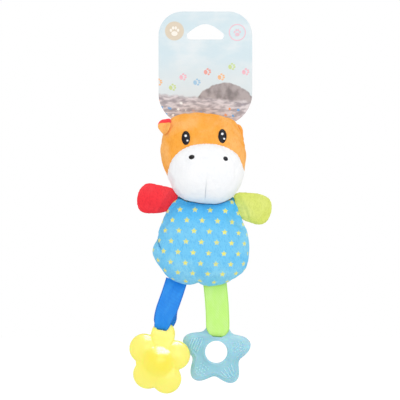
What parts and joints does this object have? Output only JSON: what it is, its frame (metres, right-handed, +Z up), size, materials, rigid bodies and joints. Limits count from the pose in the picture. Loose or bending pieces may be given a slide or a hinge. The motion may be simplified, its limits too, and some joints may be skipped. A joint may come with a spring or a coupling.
{
  "type": "plush dog toy",
  "caption": "Stuffed animal toy for dogs on a printed hang card, with a big muzzle, padded arms and ribbon legs that carry a chewable flower and star.",
  "frame": {"origin": "middle of the hang slot, on the mid-plane of the hang card", "axes": "+Z up, towards the card's top edge; -Y out of the face, towards the viewer; +X to the viewer's right"},
  "size_m": [0.1412, 0.0581, 0.3823],
  "materials": {
    "card": "pale blue printed card with a thin gloss film",
    "tag_plastic": "clear to milky nylon",
    "orange_plush": "short orange plush",
    "white_plush": "short white plush",
    "red_plush": "short red plush",
    "green_plush": "short lime green plush",
    "star_plush": "short blue plush printed with rows of small yellow stars",
    "dark_thread": "dense satin embroidery, near black",
    "white_thread": "dense satin embroidery, white",
    "filling": "polyester fibre filling",
    "blue_webbing": "woven blue ribbon",
    "green_webbing": "woven green ribbon",
    "yellow_rubber": "soft translucent yellow rubber, glossy",
    "teal_rubber": "soft translucent pale teal rubber, satin",
    "squeaker_plastic": "soft white plastic"
  },
  "bodies": {
    "card": {"hang_card": "card"},
    "head": {"tag_pin_left": "tag_plastic", "tag_pin_right": "tag_plastic", "forehead_panel": "orange_plush", "head_back_panel": "orange_plush", "head_filling": "filling", "muzzle_left_panel": "white_plush", "muzzle_right_panel": "white_plush", "left_eye": "dark_thread", "left_eye_upper_glint": "white_thread", "left_eye_lower_glint": "white_thread", "right_eye": "dark_thread", "right_eye_upper_glint": "white_thread", "right_eye_lower_glint": "white_thread", "left_nostril": "dark_thread", "right_nostril": "dark_thread"},
    "left_ear": {"left_ear_front": "orange_plush", "left_ear_lining": "red_plush"},
    "right_ear": {"right_ear_front": "orange_plush", "right_ear_lining": "red_plush"},
    "body": {"body_front_panel": "star_plush", "body_back_panel": "star_plush", "body_filling": "filling", "squeaker_bulb": "squeaker_plastic", "squeaker_reed": "squeaker_plastic"},
    "red_arm": {"red_arm_front": "red_plush", "red_arm_back": "red_plush", "red_arm_filling": "filling"},
    "green_arm": {"green_arm_front": "green_plush", "green_arm_back": "green_plush", "green_arm_filling": "filling"},
    "blue_leg": {"blue_ribbon": "blue_webbing"},
    "green_leg": {"green_ribbon": "green_webbing"},
    "flower": {"flower_teether": "yellow_rubber"},
    "star": {"star_teether": "teal_rubber"}
  },
  "joints": [
    {"name": "head_swing", "type": "hinge", "parent": "card", "child": "head", "pos_m": [0, 0.0012, -0.088], "axis": [-1, 0, 0], "range_deg": [0, 45]},
    {"name": "neck_bend", "type": "hinge", "parent": "head", "child": "body", "pos_m": [0, -0.01218, -0.168], "axis": [1, 0, 0], "range_deg": [0, 20], "stiffness_Nm_per_rad": 0.3},
    {"name": "left_ear_fold", "type": "hinge", "parent": "head", "child": "left_ear", "pos_m": [-0.02895, -0.02268, -0.0965], "axis": [0, 0, 1], "range_deg": [0, 35], "stiffness_Nm_per_rad": 0.002},
    {"name": "right_ear_fold", "type": "hinge", "parent": "head", "child": "right_ear", "pos_m": [0.02048, -0.01118, -0.1035], "axis": [0, 0, 1], "range_deg": [0, 35], "stiffness_Nm_per_rad": 0.002},
    {"name": "red_arm_flap", "type": "hinge", "parent": "body", "child": "red_arm", "pos_m": [-0.03381, -0.01618, -0.17111], "axis": [-0.6809, 0, -0.7323], "range_deg": [-40, 40], "stiffness_Nm_per_rad": 0.005},
    {"name": "green_arm_flap", "type": "hinge", "parent": "body", "child": "green_arm", "pos_m": [0.02987, -0.01618, -0.17675], "axis": [-0.553, 0, 0.8332], "range_deg": [-40, 40], "stiffness_Nm_per_rad": 0.005},
    {"name": "blue_leg_swing", "type": "hinge", "parent": "body", "child": "blue_leg", "pos_m": [-0.02969, -0.01618, -0.2523], "axis": [-0.9587, 0, 0.2845], "range_deg": [0, 60]},
    {"name": "green_leg_swing", "type": "hinge", "parent": "body", "child": "green_leg", "pos_m": [0.00982, -0.01618, -0.25476], "axis": [0.9937, 0, 0.1118], "range_deg": [0, 60]},
    {"name": "flower_swing", "type": "hinge", "parent": "blue_leg", "child": "flower", "pos_m": [-0.04071, -0.02168, -0.29376], "axis": [-0.9848, 0, 0.1736], "range_deg": [0, 40]},
    {"name": "star_swing", "type": "hinge", "parent": "green_leg", "child": "star", "pos_m": [0.01225, -0.01068, -0.30025], "axis": [0.9976, 0, -0.0698], "range_deg": [0, 40]}
  ]
}
